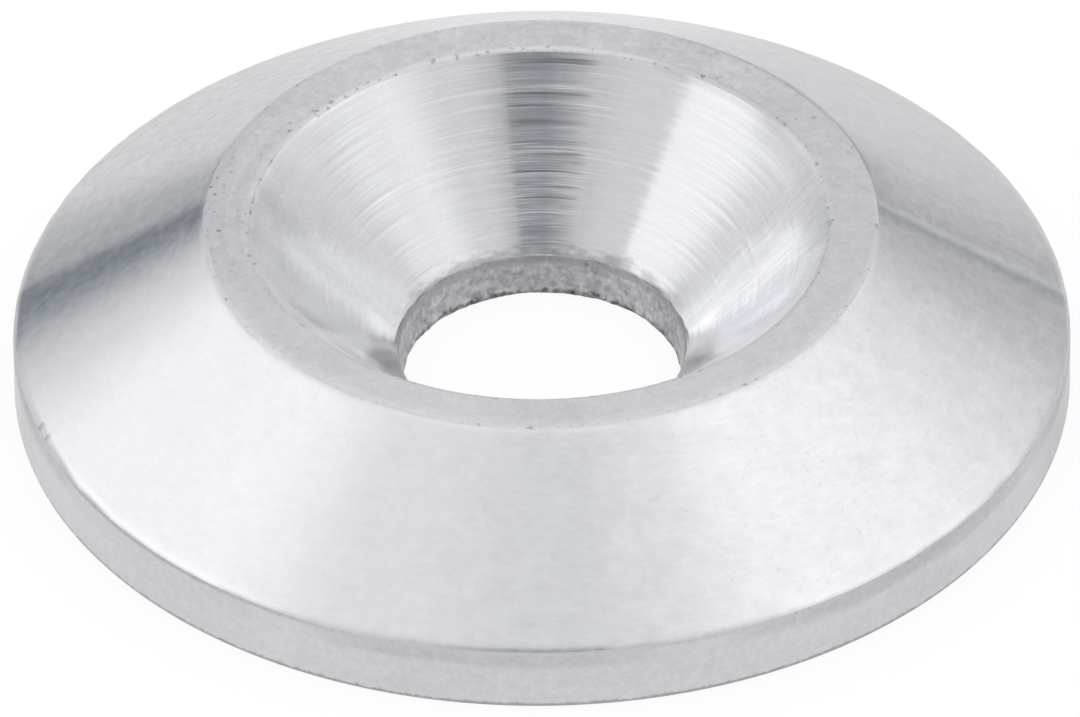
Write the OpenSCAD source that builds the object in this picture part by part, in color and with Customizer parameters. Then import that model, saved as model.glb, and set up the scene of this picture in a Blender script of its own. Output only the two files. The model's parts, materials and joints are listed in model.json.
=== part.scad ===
// Finishing cup washer, turned in one piece from bar.
// A solid conical ring that seats the head of a countersunk screw.
// The base lies on z = 0 and the axis is z. All sizes are in millimetres.

/* [Body] */
// Outer diameter of the rim
outer_d = 24; // [17:0.5:40]
// Height of the straight rim wall above the base
rim_h = 1.5; // [0.4:0.1:4]

/* [Bore] */
// Diameter of the screw hole
bore_d = 6.4; // [3.2:0.1:11]
// Height of the straight hole, from the base to the foot of the countersink
bore_h = 1.15; // [0.5:0.05:6]

/* [Countersink] */
// Diameter of the countersink at its mouth
sink_d = 13.1; // [8:0.1:20]
// Included angle of the countersink in degrees
sink_angle = 90; // [60:1:120]
// Width of the flat land round the mouth
land_w = 1.05; // [0.3:0.05:4]

/* [Edge breaks] */
// Break at the foot of the rim
rim_foot_break = 0.1; // [0:0.02:0.3]
// Break where the rim wall meets the outer cone
rim_top_break = 0.05; // [0:0.01:0.3]
// Break where the outer cone meets the land
land_break = 0.05; // [0:0.01:0.3]
// Break at the mouth of the countersink
mouth_break = 0.05; // [0:0.01:0.3]
// Break under the screw hole
bore_foot_break = 0.2; // [0:0.02:0.4]

/* [Hidden] */

// Straight pieces that a full turn is drawn with
turn_pieces = 180;

outer_r = outer_d / 2;
bore_r = bore_d / 2;
sink_r = sink_d / 2;
land_r = sink_r + land_w;
sink_depth = (sink_r - bore_r) / tan(sink_angle / 2);
total_h = bore_h + sink_depth;

// Sharp corners of the section, anticlockwise: [radius, height, size of the edge break]
corners = [
    [bore_r, 0, bore_foot_break],
    [outer_r, 0, rim_foot_break],
    [outer_r, rim_h, rim_top_break],
    [land_r, total_h, land_break],
    [sink_r, total_h, mouth_break],
    [bore_r, bore_h, 0],
];

// Place of a corner, without its edge break; the list goes round
function place(i) = let (c = corners[(i + len(corners)) % len(corners)]) [c[0], c[1]];

// Point at a distance from one place, on the way to another
function towards(from, to, distance) = from + distance * (to - from) / norm(to - from);

// Points that a corner becomes: itself, or the two ends of its flat break
function broken(i) =
    corners[i][2] == 0
        ? [place(i)]
        : [for (side = [-1, 1]) towards(place(i), place(i + side), corners[i][2])];

// Half section of the ring, to be turned about the axis
module ring_section() {
    polygon([for (i = [0:len(corners) - 1]) each broken(i)]);
}

// The whole washer
module cup_washer() {
    color([0.78, 0.79, 0.81])
        rotate_extrude($fn = turn_pieces)
            ring_section();
}

cup_washer();
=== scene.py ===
import json
import math

import bmesh
import bpy
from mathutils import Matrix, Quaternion, Vector


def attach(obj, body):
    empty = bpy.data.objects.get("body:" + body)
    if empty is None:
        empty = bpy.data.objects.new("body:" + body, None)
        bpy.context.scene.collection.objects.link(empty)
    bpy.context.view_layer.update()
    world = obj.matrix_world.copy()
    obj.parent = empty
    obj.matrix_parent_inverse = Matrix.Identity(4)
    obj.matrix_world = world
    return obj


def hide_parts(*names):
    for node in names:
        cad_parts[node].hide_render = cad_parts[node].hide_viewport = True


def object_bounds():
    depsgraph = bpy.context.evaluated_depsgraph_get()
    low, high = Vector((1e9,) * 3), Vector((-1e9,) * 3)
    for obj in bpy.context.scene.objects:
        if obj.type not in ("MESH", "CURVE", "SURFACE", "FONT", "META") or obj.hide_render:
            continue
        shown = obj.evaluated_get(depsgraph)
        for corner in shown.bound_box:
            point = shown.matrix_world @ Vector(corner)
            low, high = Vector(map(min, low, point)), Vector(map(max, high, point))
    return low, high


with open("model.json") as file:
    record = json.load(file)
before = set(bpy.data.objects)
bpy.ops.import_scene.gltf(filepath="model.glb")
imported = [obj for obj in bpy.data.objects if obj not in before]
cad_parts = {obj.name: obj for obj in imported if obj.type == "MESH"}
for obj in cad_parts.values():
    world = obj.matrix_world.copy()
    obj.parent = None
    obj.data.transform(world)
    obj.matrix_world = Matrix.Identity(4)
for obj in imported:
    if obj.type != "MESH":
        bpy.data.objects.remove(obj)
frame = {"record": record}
cad_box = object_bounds()

# One millimetre and one micrometre in the scene's metres
mm = 0.001
um = 0.001 * mm

# Sizes of the washer that the frame gives
outer_r = min(-cad_box[0].x, cad_box[1].x, -cad_box[0].y, cad_box[1].y) - um
total_h = cad_box[1].z
screw_hole = next(m for m in frame["record"]["mounts"] if m["name"] == "screw_hole")
bore_r = screw_hole["dims"]["r_mm"] * mm

# Sizes of the washer that the section needs besides
rim_h = 1.5 * mm
land_w = 1.05 * mm
mouth_r = 6.55 * mm
land_r = mouth_r + land_w

# The bore as drilled: it widens a little from its torn foot to the countersink
foot_r = bore_r - 0.08 * mm
seat_r = bore_r + 0.06 * mm
seat_h = 0.95 * mm

# Corners of the section as (radius, height)
bore_foot = (foot_r, 0)
rim_foot = (outer_r, 0)
rim_top = (outer_r, rim_h)
land_edge = (land_r, total_h)
mouth = (mouth_r, total_h)
seat_foot = (seat_r, seat_h)

# Corners that are broken by a small round, with its size
rounds = {
    bore_foot: 0.06 * mm,
    rim_foot: 0.1 * mm,
    rim_top: 0.05 * mm,
    land_edge: 0.05 * mm,
    mouth: 0.05 * mm,
}

# Turned faces of the washer: the two ends of each one's line in the section, and its number of bands
faces = {
    "cone": (rim_top, land_edge, 44),
    "land": (land_edge, mouth, 24),
    "seat": (mouth, seat_foot, 144),
    "bore": (bore_foot, seat_foot, 20),
    "base": (bore_foot, rim_foot, 4),
    "rim": (rim_foot, rim_top, 20),
}

# Steps of a full turn, steps of a rounded corner, and the angle up to which faces look smooth
turn_steps = 360
round_steps = 4
smooth_angle = math.radians(40)

# Deeper lathe marks in the countersink: distance from the mouth in mm and depth in micrometres
seat_marks = (
    (0.1, 1.5), (0.29, 1.2), (0.62, 2), (0.75, 1.5), (1.1, 2), (1.31, 1.5), (1.91, 1.5),
    (2.42, 3), (2.69, 1.2), (3.08, 2), (3.62, 1.8), (3.8, 1.2), (4.44, 2),
)
seat_mark_w = 0.035 * mm

# Worn corners: how far the wear reaches from the corner, its depth and the size of its dents, in mm,
# then the turn of its middle and how far it spreads to either side, in degrees
all_round = (0, 1000)
worn_corners = (
    (rim_top, 0.14, 0.045, 0.45, all_round),
    (rim_top, 0.2, 0.1, 0.16, (-161, 9)),
    (land_edge, 0.12, 0.025, 0.4, all_round),
    (mouth, 0.12, 0.03, 0.35, all_round),
    (mouth, 0.45, 0.07, 0.8, (178, 45)),
    (seat_foot, 0.1, 0.05, 0.3, all_round),
    (bore_foot, 0.25, 0.1, 0.3, all_round),
)

# Corners that are dull from wear, with the finish that they take and its width
dull_corners = {
    rim_top: ("edge", 0.06 * mm),
    land_edge: ("edge", 0.045 * mm),
    mouth: ("edge", 0.075 * mm),
    seat_foot: ("bore", 0.07 * mm),
}

# Shares of a step inwards and of a step down that count along the countersink's slant
seat_slope = (0.68, 0.73)

# Colours of the bare steel
steel_colour = (0.603, 0.606, 0.631)
seat_colour = (0.603, 0.607, 0.624)

# Radius of the table top in metres, its white, and the share of it that no shadow darkens
table_r = 3
table_white = 1.02
table_glow = 0.88

# Level of the tent near the table and overhead, and the elevations between which it changes
tent_low = 0.93
tent_top = 1.26
tent_turn = (49, 69)

# The tent's seams lie on upright planes through one line, this far behind the washer on a tent of radius 1
seam_line = 0.7915

# Edges that several panels share, in the form that is told below
gap_foot = ("height", 32, 46)
gap_top = ("height", 68, 56)
back_top = ("height", 20, 14)
seam_top = ("height", 31, 23)

# Panels and gaps of the tent, each laid over the ones before it. Each has its level, then its edges:
# the scale that the edge is measured on, and where the panel ends and where it is full, in degrees.
# Turn is 0 behind the washer, 90 to its right and 180 at the camera; height is elevation; a lean is a
# turn that shifts with height; a side's seam is 0 at that side and 90 behind; the front seam is 0 at
# the right, 90 at the camera and 180 at the left.
tent_panels = {
    "camera_gap_left": (0.3, ("turn", -130, -185), gap_foot, gap_top),
    "camera_gap_right": (0.37, ("turn", 139, 179), gap_foot, gap_top),
    "camera": (
        0.39, ("front_seam", 81, 90), ("front_seam", 98, 97), ("height", 44, 52), ("height", 66, 58)),
    "left_skirt": (0.0, ("turn", -131, -111), ("turn", -62, -92), ("height", 28, 12)),
    "right_skirt": (0.2, ("turn", 71, 101), ("turn", 126, 96), ("height", 33, 17)),
    "left_softbox": (
        1.34, ("turn", -116, -113), ("turn", -40, -80), ("height", 12, 28), ("height", 92, 68)),
    "left_lamp": (
        2.65, ("left_lean", -40, -25), ("left_lean", -5, -20), ("height", 16, 32), ("height", 61, 45)),
    "right_softbox": (
        1.23, ("turn", 16, 29), ("turn", 139, 111), ("height", 17, 33), ("height", 90, 66)),
    "right_lamp": (
        1.92, ("right_lean", 23, 42), ("right_lean", 67, 48), ("height", 23, 39), ("height", 75, 59)),
    "left_gap": (0.08, ("left_seam", -11, 5), ("left_seam", 7.3, 7.05), ("height", 22, 11)),
    "right_gap": (0.66, ("right_seam", -20, 1.5), ("right_seam", 4.7, 4.3), seam_top),
    "back_panel": (0.62, ("left_seam", 7.05, 7.3), ("right_seam", 4.3, 4.7), back_top),
    "back_left": (0.86, ("left_seam", 14, 24), ("left_seam", 85, 65), back_top),
    "back_fold": (0.45, ("left_seam", 7.05, 7.3), ("left_seam", 25, 17.5), ("height", 25, 9)),
    "right_fold": (0.53, ("right_seam", 4.3, 4.7), ("right_seam", 10.5, 6.5), back_top),
    "back_strip": (1.7, ("turn", -6, -2), ("turn", 6, 2), back_top),
    "seam_shade": (0.34, ("right_seam", 1.6, 3.4), ("right_seam", 4.7, 4.3), seam_top),
    "seam_hem": (1.08, ("right_seam", 4.4, 4.7), ("right_seam", 5.9, 5.2), back_top),
}

# Leans of the two lamps, in degrees of turn for each degree of height, and the height from which they lean
left_lean = 1.8
right_lean = -1.2
lean_from = 7

# Tint of the tent's dark gaps, and the level at which it is gone
gap_tint = (0.5, 1.0, 1.3)
tint_until = 0.56

# Camera, far off with a long lens
camera_distance = 480 * mm
camera_elevation = math.radians(37.68)
camera_aim = Vector((-0.045, 0, 0.58)) * mm
camera_roll = math.radians(0.588)
camera_lens = 703.8


class Wire:
    """A socket of a shader tree; arithmetic on it adds Math nodes to the tree."""

    def __init__(self, tree, socket=None):
        self.tree = tree
        self.socket = socket

    def node(self, kind, settings=None, sockets=None, out=0):
        """Adds a node: its settings first, then values or wires for its sockets. Gives one output."""
        node = self.tree.nodes.new("ShaderNode" + kind)
        for name, value in (settings or {}).items():
            setattr(node, name, value)
        for key, value in (sockets or {}).items():
            if isinstance(value, Wire):
                self.tree.links.new(value.socket, node.inputs[key])
            else:
                node.inputs[key].default_value = value
        return Wire(self.tree, node.outputs[out] if node.outputs else None)

    def math(self, operation, *values):
        """One Math node on these values."""
        return self.node("Math", {"operation": operation}, dict(enumerate(values)))

    def __add__(self, other):
        return self.math("ADD", self, other)

    def __sub__(self, other):
        return self.math("SUBTRACT", self, other)

    def __rsub__(self, other):
        return self.math("SUBTRACT", other, self)

    def __mul__(self, other):
        return self.math("MULTIPLY", self, other)

    def __truediv__(self, other):
        return self.math("DIVIDE", self, other)

    __radd__ = __add__
    __rmul__ = __mul__

    def between(self, none, full):
        """0 at one value and beyond it, 1 at the other and beyond, and smooth between them."""
        sockets = {"Value": self, "From Min": none, "From Max": full}
        return self.node("MapRange", {"interpolation_type": "SMOOTHSTEP"}, sockets)


def deselect_all():
    """Leaves nothing selected, so that an operator acts on the new piece alone."""
    bpy.ops.object.select_all(action="DESELECT")


def select_points(piece, wanted):
    """In edit mode, selects the points of the piece whose place is wanted, and what they enclose."""
    bpy.ops.mesh.select_mode(type="VERT")
    bpy.ops.mesh.select_all(action="DESELECT")
    shape = bmesh.from_edit_mesh(piece.data)
    for point in shape.verts:
        point.select = wanted(point.co)
    shape.select_flush(True)
    bmesh.update_edit_mesh(piece.data)


def from_line(place, start, end):
    """Share of a place along a line of the section, and its distance from that line."""
    a = Vector(start)
    along = Vector(end) - a
    there = Vector((math.hypot(place.x, place.y), place.z)) - a
    share = there.dot(along) / along.length_squared
    return share, (there - along * min(max(share, 0), 1)).length


def outward(start, end):
    """Direction out of the metal, for a line of the section that has the metal on its left."""
    along = Vector(end) - Vector(start)
    return Vector((along.y, 0, -along.x)).normalized()


def cut_section(ring):
    """Cuts the slanting faces off the square of bar, rounds the corners and divides the lines."""
    for start, end in ((rim_top, land_edge), (mouth, seat_foot), (seat_foot, bore_foot)):
        bpy.ops.mesh.select_all(action="SELECT")
        there = (start[0], 0, start[1])
        away = outward(start, end)
        bpy.ops.mesh.bisect(plane_co=there, plane_no=away, clear_outer=True, threshold=0.1 * um)
    for (radius, height), size in rounds.items():
        corner = Vector((radius, 0, height))
        select_points(ring, lambda place: (place - corner).length < um)
        bpy.ops.mesh.bevel(offset=size, affect="VERTICES", segments=round_steps)
    for start, end, bands in faces.values():
        select_points(ring, lambda place: from_line(place, start, end)[1] < um)
        bpy.ops.mesh.subdivide(number_cuts=bands - 1)
    bpy.ops.mesh.select_all(action="SELECT")
    bpy.ops.mesh.delete(type="ONLY_FACE")


def mark_seat(ring):
    """Sinks the lathe marks of the countersink into the section's points."""
    shape = bmesh.from_edit_mesh(ring.data)
    length = (Vector(seat_foot) - Vector(mouth)).length
    inward = -outward(mouth, seat_foot)
    for point in shape.verts:
        share, distance = from_line(point.co, mouth, seat_foot)
        if distance < um and 0.01 < share < 0.99:
            here = share * length
            sunk = (deep * math.exp(-((here - at * mm) / seat_mark_w) ** 2) for at, deep in seat_marks)
            point.co += inward * sum(sunk) * um
    bmesh.update_edit_mesh(ring.data)


def wear_corners(ring):
    """Dents the corners into the metal, unevenly round the turn."""
    places = [
        (math.hypot(point.co.x, point.co.y), point.co.z, math.degrees(math.atan2(point.co.y, point.co.x)))
        for point in ring.data.vertices
    ]
    for number, ((radius, height), reach, depth, size, (middle, spread)) in enumerate(worn_corners):
        group = ring.vertex_groups.new(name=f"worn_corner_{number}")
        for index, (r, z, turn) in enumerate(places):
            away = math.hypot(r - radius, z - height) / (reach * mm)
            aside = ((turn - middle + 180) % 360 - 180) / spread
            if away < 1 and abs(aside) < 1:
                group.add([index], (1 - away) ** 2 * (1 - aside ** 2), "REPLACE")
        dents = bpy.data.textures.new(f"worn_corner_{number}", "CLOUDS")
        dents.noise_scale = size * mm
        dents.noise_depth = 2
        wear = ring.modifiers.new("wear", "DISPLACE")
        wear.texture = dents
        wear.texture_coords = "LOCAL"
        wear.vertex_group = group.name
        wear.mid_level = 1
        wear.strength = depth * mm
        bpy.ops.object.modifier_apply(modifier=wear.name)
    ring.vertex_groups.clear()


def turned_ring():
    """The washer: a half section cut from a square of bar, marked, and turned about the axis."""
    deselect_all()
    middle = ((foot_r + outer_r) / 2, 0, total_h / 2)
    bpy.ops.mesh.primitive_plane_add(size=1, location=middle, rotation=(math.pi / 2, 0, 0))
    ring = bpy.context.object
    ring.name = ring.data.name = "cup_washer_turned"
    ring.scale = (outer_r - foot_r, total_h, 1)
    bpy.ops.object.transform_apply(location=True, rotation=True, scale=True)
    bpy.ops.object.mode_set(mode="EDIT")
    cut_section(ring)
    mark_seat(ring)
    bpy.ops.mesh.select_all(action="SELECT")
    bpy.ops.mesh.spin(steps=turn_steps, angle=2 * math.pi, center=(0, 0, 0), axis=(0, 0, 1))
    bpy.ops.mesh.select_all(action="SELECT")
    bpy.ops.mesh.remove_doubles(threshold=um)
    bpy.ops.mesh.normals_make_consistent(inside=False)
    bpy.ops.object.mode_set(mode="OBJECT")
    wear_corners(ring)
    bpy.ops.object.shade_smooth_by_angle(angle=smooth_angle)
    return ring


def dress(ring, finishes):
    """Gives each turned face its own finish, by the line or dull corner that it lies nearest to."""
    names = list(finishes)
    for name in names:
        ring.data.materials.append(finishes[name])
    nearest = {}
    for face in ring.data.polygons:
        r, z = math.hypot(face.center.x, face.center.y), face.center.z
        key = (round(r / um), round(z / um))
        if key not in nearest:
            name = min(faces, key=lambda one: from_line(face.center, *faces[one][:2])[1])
            for (radius, height), (dull, width) in dull_corners.items():
                if math.hypot(r - radius, z - height) < width:
                    name = dull
            nearest[key] = names.index(name)
        face.material_index = nearest[key]


def around_axis(wire):
    """Place about the washer's axis: radius and height in millimetres, and the turn as a pair of waves."""
    place = wire.node("TexCoord", out="Object")
    x, y, z = (wire.node("SeparateXYZ", None, {0: place}, out=k) / mm for k in range(3))
    radius = wire.math("SQRT", x * x + y * y)
    return radius, z, (x / radius, y / radius)


def noise(wire, where, scale, detail):
    """Noise about -1 to 1."""
    sockets = {"Vector": where, "Scale": scale, "Detail": detail, "Roughness": 0.6}
    return wire.node("TexNoise", None, sockets) * 4 - 2


def shifted_place(wire, seed):
    """Place on the washer, shifted so that each seed gives a pattern of its own."""
    place = wire.node("TexCoord", out="Object")
    return wire.node("VectorMath", {"operation": "ADD"}, {0: place, 1: (seed * mm, 0, 0)})


def grooves(wire, across, turn, per_mm, per_turn, detail=2, seed=0):
    """Lathe grooves about -1 to 1: this many to a millimetre, each broken this many times in a turn."""
    ring = per_turn / math.tau
    where = {0: turn[0] * ring, 1: turn[1] * ring, 2: across * per_mm + seed}
    return noise(wire, wire.node("CombineXYZ", None, where), 1, detail)


def mottle(wire, per_mm, detail=2, seed=0):
    """Patchiness of the metal about -1 to 1: this many patches to a millimetre."""
    return noise(wire, shifted_place(wire, seed), per_mm / mm, detail)


def close_grain(wire):
    """Close grain of a faced surface, in two sizes."""
    return mottle(wire, 5, 2, 12) + 0.7 * mottle(wire, 10, 1, 33)


def pits(wire, per_mm, size, seed=0):
    """Round pits up to this size in millimetres: 1 in a pit, 0 around it."""
    sockets = {"Vector": shifted_place(wire, seed), "Scale": per_mm / mm}
    away = wire.node("TexVoronoi", None, sockets, out="Distance")
    return away.between(0.5 * size * per_mm, 0.25 * size * per_mm)


def steel(name, finish, colour=steel_colour, grain=1):
    """Bare steel with a lathe's grain, rough across the turn, in the finish of one face."""
    material = bpy.data.materials.new(name)
    material.use_nodes = True
    tree = material.node_tree
    shader = tree.nodes["Principled BSDF"]
    shader.inputs["Metallic"].default_value = 1
    shader.inputs["Anisotropic"].default_value = grain
    shader.inputs["Anisotropic Rotation"].default_value = 0.25
    wire = Wire(tree)
    tone, rough, relief = finish(wire, *around_axis(wire))
    colour = wire.node("VectorMath", {"operation": "SCALE"}, {0: colour, "Scale": tone})
    normal = wire.node("Bump", None, {"Height": relief, "Distance": um, "Strength": 1})
    tree.links.new(colour.socket, shader.inputs["Base Color"])
    tree.links.new(rough.socket, shader.inputs["Roughness"])
    tree.links.new(normal.socket, shader.inputs["Normal"])
    return material


def facing(turn, degrees):
    """How far a place faces one way round the turn: 1 when it does, 0 at a right angle to it."""
    return turn[0] * math.cos(math.radians(degrees)) + turn[1] * math.sin(math.radians(degrees))


def spot(turn, degrees, reach):
    """1 where the washer faces one way round the turn, fading to 0 this many degrees to either side."""
    return facing(turn, degrees).between(math.cos(math.radians(reach)), math.cos(math.radians(0.4 * reach)))


# Each finish below gives the tone of the steel's colour, the roughness, and the relief in micrometres.
# Lengths in them are in millimetres and turns in degrees, 0 at the right and 90 at the back.


def cone_finish(wire, radius, height, turn):
    """Outer cone: fine short grooves, patches, a few specks, two nicks at the rim on the left, a darker
    strip beside the land on the right, and painted shade beside the land on the right, at the front left
    and at the back.
    """
    slant = (radius - height) * 0.7
    fine = grooves(wire, slant, turn, 12, 140)
    patches = mottle(wire, 4, 3)
    clouds = mottle(wire, 1.6, 2, 7)
    specks = mottle(wire, 7, 1, 30).between(0.6, 1.05) * (0.6 + 0.7 * spot(turn, -30, 60))
    coarse = 1 + spot(turn, 90, 90) + 0.9 * spot(turn, 132, 32) - 0.4 * spot(turn, -140, 50)
    clouds = clouds * (1 - 0.6 * spot(turn, -140, 50))
    # Darker in a narrow strip beside the land edge, on the right towards the back
    land_edge_darkening = radius.between(7.8, 7.64) * spot(turn, 32, 24)
    tone = 1 + coarse * (0.03 * fine + 0.055 * patches) + 0.045 * clouds - 0.07 * specks - 0.16 * land_edge_darkening
    nicks = radius.between(11.74, 11.86) * spot(turn, -162.3, 0.55)
    nicks = nicks + radius.between(11.74, 11.84) * radius.between(11.97, 11.89) * spot(turn, -160.2, 0.45)
    # Painted shade: a soft dark wedge beside the land on the right, and darker at the front left and at the
    # back
    painted_shade_wedge = radius.between(8.7, 7.8) * spot(turn, 13, 15)
    tone = tone - 0.25 * nicks - 0.08 * painted_shade_wedge - 0.045 * spot(turn, -136, 26) - 0.03 * spot(turn, 92, 25)
    return tone, 0.2 + 0.02 * patches, 0.15 * fine + 0.05 * patches


def seat_lips_painted_light(slant, right, turn, front):
    """Painted light and shade: lighter and darker stretches of the countersink beside its two front ends.
    """
    lip_painted_light = slant.between(3, 0.8) * (spot(turn, 210, 24) * (1 - front) + 0.35 * spot(turn, -28, 24))
    lip_painted_light = lip_painted_light + slant.between(0.9, 0.3) * (0.7 * spot(turn, -3, 10) - 0.43 * spot(turn, 27, 14))
    lip_painted_light = lip_painted_light + 0.75 * slant.between(1, 0.4) * spot(turn, 181, 13)
    lip_painted_light = lip_painted_light - 0.3 * slant.between(2, 1) * spot(turn, 176, 13)
    lip_painted_light = lip_painted_light - 0.6 * slant.between(0.9, 1.5) * slant.between(3, 2.3) * spot(turn, 211, 9)
    lip_painted_light = lip_painted_light + 0.25 * slant.between(1.2, 1.8) * slant.between(3.2, 2.6) * spot(turn, 192, 11)
    return lip_painted_light + 0.43 * right.between(3.2, 2.8) * slant.between(0.8, 1.2) * spot(turn, -21, 8)


def seat_feet_dull_and_painted(slant, right, turn):
    """Foot of the countersink at its two front ends: a duller stretch that is also painted lighter, and a
    painted dark reflection in its corner.
    """
    left = slant + 7.5 * facing(turn, 282)
    corner = slant + 4 * facing(turn, 282)
    feet_dull_and_painted_light = left.between(3, 3.9) * spot(turn, 194, 26) + right.between(2.6, 3.5) * spot(turn, -12, 24)
    painted_dark_ends = (0.65 * corner.between(3.9, 4.25) + 0.35 * corner.between(4.45, 4.75)) * spot(turn, 198, 20)
    return feet_dull_and_painted_light, painted_dark_ends + 0.75 * right.between(3.95, 4.55) * spot(turn, -20, 14)


def seat_finish(wire, radius, height, turn):
    """Countersink: close long lathe rings, deepest at the back, and dull near the mouth."""
    slant = (mouth_r / mm - radius) * seat_slope[0] + (total_h / mm - height) * seat_slope[1]
    rings = grooves(wire, slant, turn, 6, 4, 3)
    fine = grooves(wire, slant, turn, 18, 30, 1, 40)
    streaks = grooves(wire, slant, turn, 1.2, 380, 1, 80)
    back = spot(turn, 90, 35)
    # Score lines darkened only in a narrow stretch at the back: lathe marks, with a painted dark reflection
    # streak along them
    scores_and_painted_streak = grooves(wire, slant, turn, 8, 5, 2, 120).between(0.2, 0.75)
    scores_and_painted_streak = 0.48 * scores_and_painted_streak + 0.46 * grooves(wire, slant, turn, 2.4, 3, 1, 160).between(0.1, 0.8)
    scores_and_painted_streak = scores_and_painted_streak * (0.35 + 0.65 * slant.between(4.2, 3.4)) + 0.16 * slant.between(0.6, 0.25)
    tears = grooves(wire, slant, turn, 5, 40, 2, 50)
    torn = (slant + 0.2 * tears).between(4.5, 4.76) * spot(turn, 90, 85)
    dull = slant.between(1.3, 0.1) * (1 - spot(turn, 90, 66))
    front = facing(turn, -90).between(0.36, 0.54)
    right = slant - 6 * facing(turn, 74)
    # Painted light and shade beside the countersink's two front ends
    lip_painted_light = seat_lips_painted_light(slant, right, turn, front)
    # Duller feet at the front ends, also painted lighter, and a painted dark reflection in their corners
    feet_dull_and_painted_light, painted_dark_ends = seat_feet_dull_and_painted(slant, right, turn)
    # Painted shade on the left, right and back left of the countersink, and a painted light stripe at the
    # back
    painted_side_shading = 0.4 * spot(turn, 171, 20) + 0.4 * spot(turn, 4, 18) + 0.8 * spot(turn, 138, 14)
    painted_side_shading = painted_side_shading - 1.3 * spot(turn, 82, 7)
    tone = 1.05 + 0.03 * fine + (0.02 + 0.03 * spot(turn, 176, 24)) * mottle(wire, 8, 1, 90)
    tone = tone + 0.07 * spot(turn, 6, 21) * streaks
    tone = tone - scores_and_painted_streak * spot(turn, 88, 12) - 0.35 * torn
    tone = tone + 0.3 * lip_painted_light - 0.06 * painted_side_shading + 0.32 * feet_dull_and_painted_light - 0.62 * painted_dark_ends
    # Painted light and shade at fixed turns: lighter low on the right, darker just under the mouth at the
    # back right, lighter near the foot on both sides
    tone = tone + 0.05 * slant.between(2.8, 3.8) * spot(turn, 20, 14)
    tone = tone - 0.16 * slant.between(0.3, 0.12) * spot(turn, 47, 22)
    tone = tone + slant.between(3.5, 4.3) * (0.2 * spot(turn, -2, 10) + 0.24 * spot(turn, 179, 9))
    rough = 0.12 + 0.01 * fine + 0.16 * dull + 0.28 * front + 0.14 * feet_dull_and_painted_light
    return tone, rough, (0.5 + 4.5 * back) * rings + 0.2 * fine


def land_finish(wire, radius, height, turn):
    """Top land: patches and faint facing rings, with pits on the left and on the right towards the back."""
    rings = grooves(wire, radius, turn, 5, 10)
    patches = mottle(wire, 1.6, 2)
    grain = close_grain(wire)
    pitted = 1.3 * spot(turn, 168, 37) + 0.8 * spot(turn, 32, 33)
    dark = mottle(wire, 3, 2, 71) * (spot(turn, 66, 28) + 0.6 * spot(turn, 30, 30))
    bands = 0.4 + radius.between(7.1, 7.35) + radius.between(7.0, 6.75)
    holes = pits(wire, 4, 0.14, 60) * pitted * bands * (0.3 + mottle(wire, 2, 1, 64).between(-0.2, 0.5))
    # Painted light towards the front, strongest on the land's outer half; the tone below also has painted
    # shade on the left and at the back right
    front = spot(turn, -97, 85) * (0.02 + 0.06 * radius.between(7.2, 7.5)) + 0.02 * spot(turn, -130, 37)
    patchy = 0.03 + 0.02 * spot(turn, 90, 100)
    tone = 1 + (0.015 + 0.05 * spot(turn, 172, 45)) * rings + patchy * patches
    tone = tone + (0.065 + 0.02 * spot(turn, 95, 60)) * grain
    tone = tone + front - 0.03 * spot(turn, 170, 40) - 0.03 * spot(turn, 72, 18) + 0.08 * dark - 0.2 * holes
    return tone, 0.28 + 0.01 * patches, 0.25 * rings - 0.8 * holes


def edge_finish(wire, radius, height, turn):
    """Worn edges: dull, with a few dark specks, and painted light and shade at fixed turns."""
    patches = mottle(wire, 6, 2)
    specks = mottle(wire, 6, 1, 15).between(0.4, 0.9) * (0.3 + 0.7 * height.between(2, 3))
    # Painted shade on the left and, on the top edges, at the back right; painted light on the top edges at
    # the front left
    painted_side_shading = 0.06 * spot(turn, 180, 40) - 0.12 * height.between(4.1, 4.3) * spot(turn, 204, 24)
    painted_side_shading = painted_side_shading + 0.14 * height.between(4.1, 4.3) * spot(turn, 48, 24)
    tone = 0.97 + 0.04 * patches - 0.35 * specks - painted_side_shading
    return tone, 0.5 + 0.02 * patches, 0.4 * patches


def rim_finish(wire, radius, height, turn):
    """Rim: lengthwise streaks, a painted dark reflection in a band under the upper edge in places, a
    painted dark line of shade along the foot, and painted shade on its sides.
    """
    patches = mottle(wire, 1.2, 2)
    grain = close_grain(wire)
    streaks = grooves(wire, height, turn, 2.5, 24)
    # Painted dark reflection in a band under the upper edge, at a few turns
    dark_band_turns = 0.2 + spot(turn, -97, 22) + spot(turn, -45, 28) + spot(turn, -166, 18) + spot(turn, -6, 18)
    painted_dark_band = (height + 0.1 * streaks).between(1.0, 1.25) * dark_band_turns
    # Painted shade in a dark line along the foot
    foot = (height + 0.02 * grain).between(0.16, 0.1)
    # Painted shade on the right and left sides, painted light at the front left
    painted_side_shading = 0.2 * spot(turn, 0, 26) + 0.09 * spot(turn, 180, 20) - 0.04 * spot(turn, -136, 30)
    tone = 1.04 + 0.02 * patches + 0.03 * streaks + 0.055 * grain - 0.13 * painted_dark_band - 0.4 * foot - painted_side_shading
    return tone, 0.28 + 0.01 * patches, 0.2 * streaks


def bore_finish(wire, radius, height, turn):
    """Bore: torn by the drill, with dark tears along both its edges."""
    torn = mottle(wire, 6, 3)
    lines = grooves(wire, height, turn, 5, 30)
    foot = (height + 0.08 * torn).between(0.24, 0.08)
    top = height.between(0.76, 0.92) * (torn + 0.6 * lines).between(-0.4, 0.6)
    tone = 0.8 + 0.34 * torn + 0.14 * lines - 0.4 * foot - 0.35 * top
    return tone, 0.4 + 0.05 * torn, 2 * torn + 1.5 * lines


def base_finish(wire, radius, height, turn):
    """Base: plain facing rings."""
    rings = grooves(wire, radius, turn, 6, 10)
    patches = mottle(wire, 4)
    return 1 + 0.03 * rings + 0.03 * patches, 0.27 + 0.02 * patches, 0.8 * rings


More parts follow.
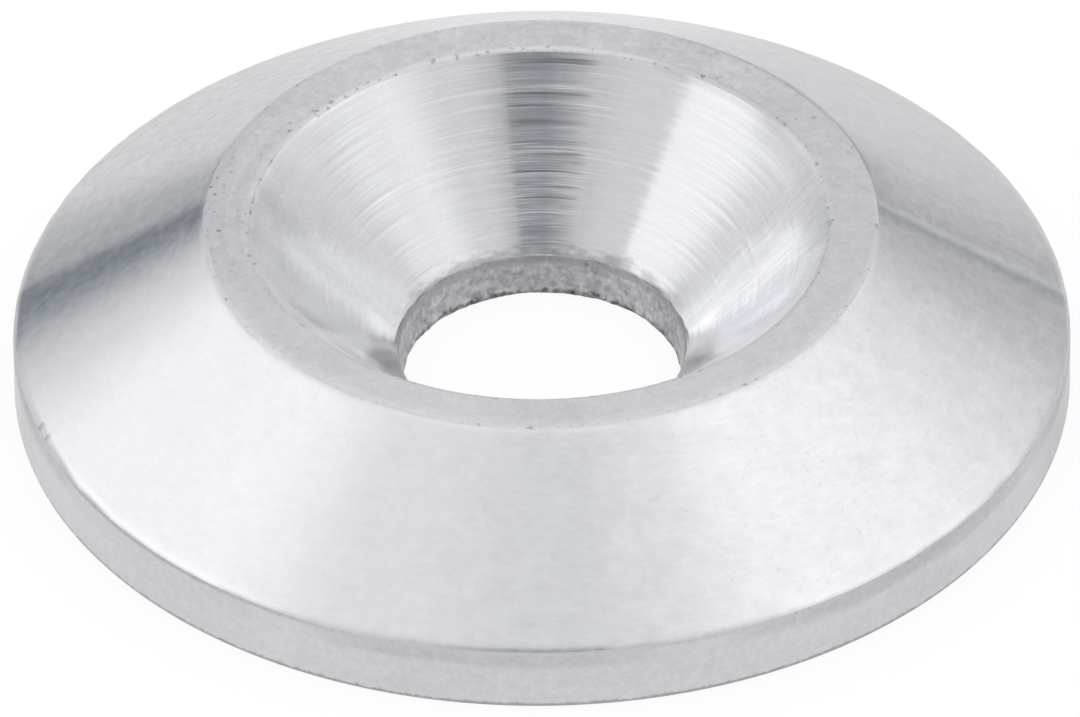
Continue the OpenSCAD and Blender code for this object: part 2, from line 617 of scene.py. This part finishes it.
def table_top():
    """A white table top that keeps part of the shadow of what stands on it."""
    deselect_all()
    bpy.ops.mesh.primitive_circle_add(vertices=96, radius=table_r, fill_type="NGON")
    table = bpy.context.object
    table.name = table.data.name = "table_top"
    material = bpy.data.materials.new("white_table")
    material.use_nodes = True
    material.node_tree.nodes.clear()
    wire = Wire(material.node_tree)
    seen = wire.node("LightPath", out="Is Camera Ray")
    for kind in ("Is Glossy Ray", "Is Transmission Ray"):
        seen = wire.math("MAXIMUM", seen, wire.node("LightPath", out=kind))
    shaded = wire.node("BsdfDiffuse", None, {"Color": (0.8, 0.8, 0.8, 1)})
    white = wire.node("Emission", None, {"Color": (1, 1, 1, 1), "Strength": table_white})
    surface = wire.node("MixShader", None, {0: seen * table_glow, 1: shaded, 2: white})
    wire.node("OutputMaterial", None, {"Surface": surface})
    table.data.materials.append(material)


def studio_tent():
    """The light: a white tent with side softboxes, a back panel, and gaps between them."""
    world = bpy.data.worlds.new("studio_tent")
    bpy.context.scene.world = world
    world.use_nodes = True
    background = world.node_tree.nodes["Background"]
    wire = Wire(world.node_tree)
    direction = wire.node("TexCoord", out="Generated")
    x, y, z = (wire.node("SeparateXYZ", None, {0: direction}, out=k) for k in range(3))
    turn = wire.math("DEGREES", wire.math("ARCTAN2", x, y))
    height = wire.math("DEGREES", wire.math("ARCSINE", z))
    above = wire.math("MAXIMUM", height - lean_from, 0)
    behind = y - seam_line
    scales = {
        "turn": turn,
        "height": height,
        "left_lean": turn + above * left_lean,
        "right_lean": turn + above * right_lean,
        "left_seam": wire.math("DEGREES", wire.math("ARCTAN2", behind, x * -1)),
        "right_seam": wire.math("DEGREES", wire.math("ARCTAN2", behind, x)),
        "front_seam": wire.math("DEGREES", wire.math("ARCTAN2", behind * -1, x * -1)),
    }
    light = tent_low + (tent_top - tent_low) * height.between(*tent_turn)
    for level, *edges in tent_panels.values():
        cover = 1
        for scale, none, full in edges:
            cover = cover * scales[scale].between(none, full)
        light = light + (level - light) * cover
    sockets = {0: light.between(0, tint_until), 6: (*gap_tint, 1), 7: (1, 1, 1, 1)}
    tint = wire.node("Mix", {"data_type": "RGBA"}, sockets, out=2)
    world.node_tree.links.new(tint.socket, background.inputs["Color"])
    world.node_tree.links.new(light.socket, background.inputs["Strength"])


def photo_camera():
    """The camera at the photograph's angle, looking along +Y and down."""
    data = bpy.data.cameras.new("photo_camera")
    data.sensor_width = 36
    data.sensor_fit = "HORIZONTAL"
    data.lens = camera_lens
    camera = bpy.data.objects.new("photo_camera", data)
    bpy.context.scene.collection.objects.link(camera)
    back = Vector((0, -math.cos(camera_elevation), math.sin(camera_elevation)))
    camera.location = back * camera_distance
    look = (camera_aim - camera.location).to_track_quat("-Z", "Y")
    camera.rotation_mode = "QUATERNION"
    camera.rotation_quaternion = look @ Quaternion((0, 0, 1), -camera_roll)
    bpy.context.scene.camera = camera


photo_camera()
washer = turned_ring()
dress(washer, {
    "cone": steel("turned_cone", cone_finish),
    "land": steel("faced_land", land_finish),
    "seat": steel("countersink_seat", seat_finish, seat_colour),
    "edge": steel("worn_edge", edge_finish, grain=0),
    "bore": steel("drilled_bore", bore_finish),
    "base": steel("faced_base", base_finish),
    "rim": steel("turned_rim", rim_finish),
})
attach(washer, "root")
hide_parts("cup_washer")
table_top()
studio_tent()
bpy.context.scene.view_settings.view_transform = "Standard"
